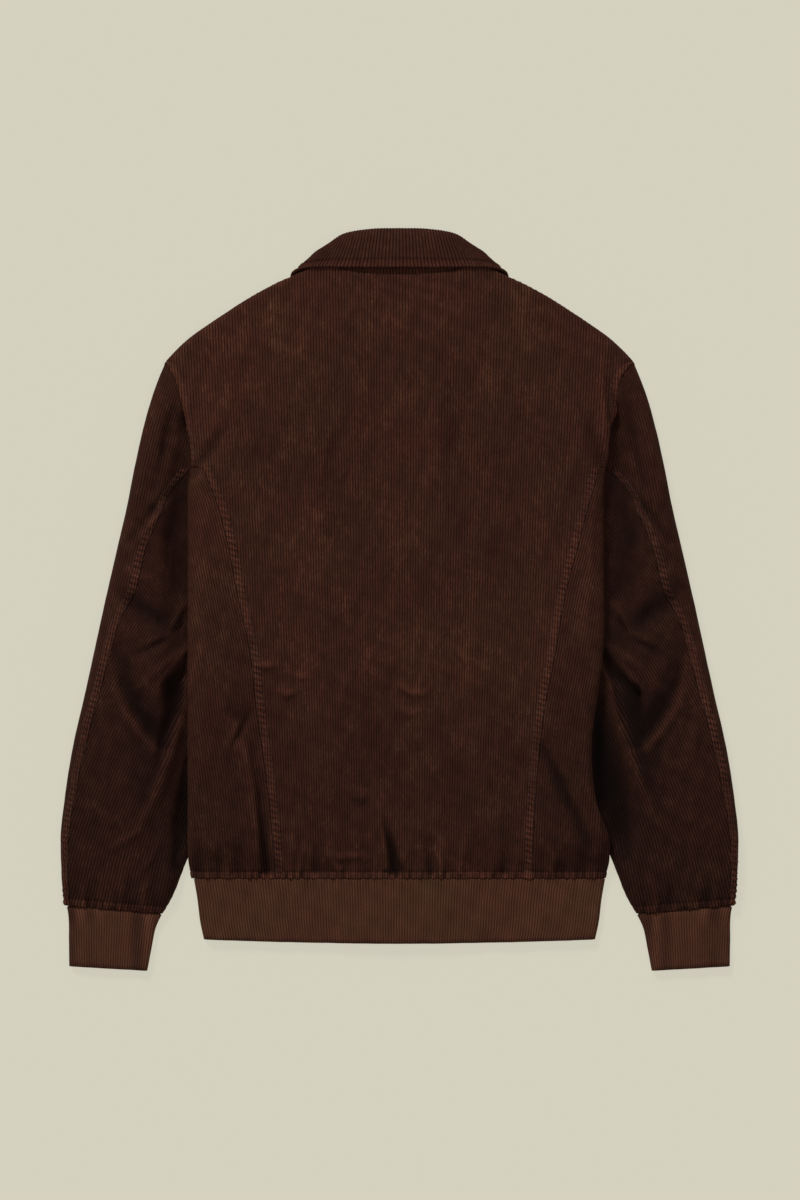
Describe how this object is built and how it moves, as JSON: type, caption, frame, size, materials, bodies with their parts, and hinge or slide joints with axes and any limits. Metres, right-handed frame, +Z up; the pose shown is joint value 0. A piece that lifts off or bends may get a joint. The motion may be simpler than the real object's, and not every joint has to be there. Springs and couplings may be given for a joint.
{
  "type": "corduroy jacket",
  "caption": "Blouson-style corduroy jacket laid flat with its back up: turned-down collar, panelled back, two-piece sleeves, rib-knit cuffs and hem band.",
  "frame": {"origin": "middle of the jacket's outline, on the surface that it lies on", "axes": "+Z up out of the surface and of the jacket's back, +Y from the hem towards the collar, +X towards the wearer's right sleeve"},
  "size_m": [0.678, 0.7433, 0.0238],
  "materials": {
    "corduroy": "dark brown cotton corduroy, about nine wales to the inch, soft nap with a faint sheen along the wales and paler, worn seams",
    "rib_knit": "dark brown double rib knit, matt, ribs 2.8 mm apart",
    "buttons": "satin dark brown resin"
  },
  "bodies": {
    "root": {"back_centre": "corduroy", "back_side_left": "corduroy", "back_side_right": "corduroy", "front_left": "corduroy", "front_right": "corduroy", "sleeve_top_left": "corduroy", "sleeve_top_right": "corduroy", "sleeve_under_left": "corduroy", "sleeve_under_right": "corduroy", "collar": "corduroy", "cuff_left": "rib_knit", "cuff_right": "rib_knit", "hem_rib": "rib_knit", "button_1": "buttons", "button_2": "buttons", "button_3": "buttons", "button_4": "buttons", "button_5": "buttons", "button_6": "buttons", "button_7": "buttons"}
  },
  "joints": []
}
